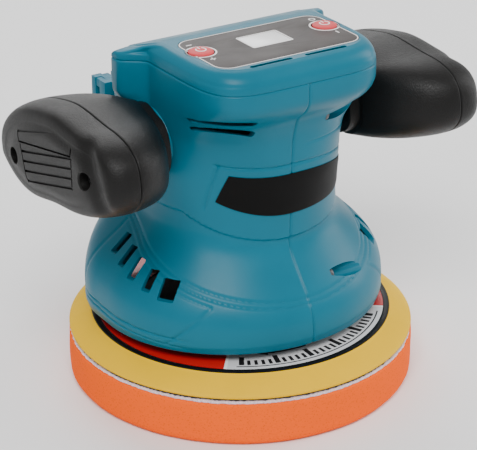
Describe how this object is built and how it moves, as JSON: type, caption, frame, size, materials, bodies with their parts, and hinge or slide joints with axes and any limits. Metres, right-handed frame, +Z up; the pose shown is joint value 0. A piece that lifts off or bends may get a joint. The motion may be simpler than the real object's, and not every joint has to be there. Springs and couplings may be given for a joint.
{
  "type": "dual action polisher",
  "caption": "Cordless dual action polisher: teal neck-shaped housing, two black side grips, control panel on top, foam pad on an offset hub, rear battery rails.",
  "frame": {"origin": "point where the motor axis meets the pad's working face", "axes": "+Z up along the motor axis, +X towards the user's right grip, -Y towards the front of the head, +Y towards the battery rails"},
  "size_m": [0.183, 0.1508, 0.1564],
  "materials": {
    "orange_foam": "open-cell foam",
    "loop_pile": "brushed loop pile",
    "hook_nylon": "moulded hooks",
    "yellow_foam": "closed-cell foam",
    "plate_black": "satin",
    "ring_black": "printed",
    "label_red": "printed",
    "label_silver": "printed silver",
    "machined_steel": "turned",
    "screw_steel": "zinc",
    "bearing_steel": "ground",
    "ball_steel": "polished",
    "weight_iron": "cast",
    "fan_plastic": "moulded",
    "motor_alloy": "die-cast",
    "can_paint": "semi-gloss",
    "lamination_steel": "stacked",
    "winding_copper": "enamelled copper",
    "magnet_grey": "sintered",
    "teal_plastic": "satin moulded",
    "band_black": "smooth",
    "panel_grey": "printed film",
    "window_white": "clear over a white screen",
    "module_grey": "plain",
    "board_green": "solder mask",
    "switch_black": "moulded",
    "button_red": "satin silicone",
    "core_plastic": "moulded",
    "grip_rubber": "soft-touch",
    "terminal_brass": "plated"
  },
  "bodies": {
    "housing": {"motor_plate_screws": "screw_steel", "housing_screws": "screw_steel", "grip_screws": "screw_steel", "battery_mount_screws": "screw_steel", "lower_bearing_outer": "bearing_steel", "upper_bearing_outer": "bearing_steel", "motor_plate": "motor_alloy", "motor_endcap": "motor_alloy", "motor_can": "can_paint", "stator_core": "lamination_steel", "stator_windings": "winding_copper", "housing_left": "teal_plastic", "housing_right": "teal_plastic", "top_cover": "teal_plastic", "battery_mount": "teal_plastic", "label_band": "band_black", "control_panel": "panel_grey", "display_window": "window_white", "display_module": "module_grey", "control_board": "board_green", "power_board": "board_green", "button_switches": "switch_black", "left_button_carrier": "switch_black", "right_button_carrier": "switch_black", "terminal_block": "switch_black", "left_handle_core": "core_plastic", "right_handle_core": "core_plastic", "left_grip_inner": "grip_rubber", "left_grip_outer": "grip_rubber", "right_grip_inner": "grip_rubber", "right_grip_outer": "grip_rubber", "battery_terminals": "terminal_brass", "board_standoffs": "terminal_brass"},
    "rotor": {"motor_shaft": "machined_steel", "rotor_core": "lamination_steel", "rotor_magnets": "magnet_grey", "fan": "fan_plastic", "counterweight": "weight_iron", "lower_bearing_inner": "bearing_steel", "lower_bearing_balls": "ball_steel", "upper_bearing_inner": "bearing_steel", "upper_bearing_balls": "ball_steel", "pad_bearing_outer": "bearing_steel"},
    "pad": {"foam_pad": "orange_foam", "loop_layer": "loop_pile", "hook_layer": "hook_nylon", "backing_foam": "yellow_foam", "backing_plate": "plate_black", "pad_edge_ring": "ring_black", "pad_label_red": "label_red", "pad_label_silver": "label_silver", "pad_hub": "machined_steel", "plate_screws": "screw_steel", "pad_washer": "screw_steel", "pad_bolt": "screw_steel", "pad_bearing_inner": "bearing_steel", "pad_bearing_balls": "ball_steel"},
    "speed_button": {"speed_button": "button_red"},
    "power_button": {"power_button": "button_red"}
  },
  "joints": [
    {"name": "motor_spin", "type": "hinge", "parent": "housing", "child": "rotor", "pos_m": [0, 0, 0.06], "axis": [0, 0, 1], "continuous": true},
    {"name": "pad_swivel", "type": "hinge", "parent": "rotor", "child": "pad", "pos_m": [0, -0.0075, 0.04], "axis": [0, 0, 1], "continuous": true},
    {"name": "speed_rock", "type": "hinge", "parent": "housing", "child": "speed_button", "pos_m": [-0.0298, -0.0252, 0.15225], "axis": [1, 0, 0], "range_deg": [-4, 4], "stiffness_Nm_per_rad": 0.01},
    {"name": "power_rock", "type": "hinge", "parent": "housing", "child": "power_button", "pos_m": [0.0298, -0.0252, 0.15225], "axis": [1, 0, 0], "range_deg": [-4, 4], "stiffness_Nm_per_rad": 0.01}
  ]
}
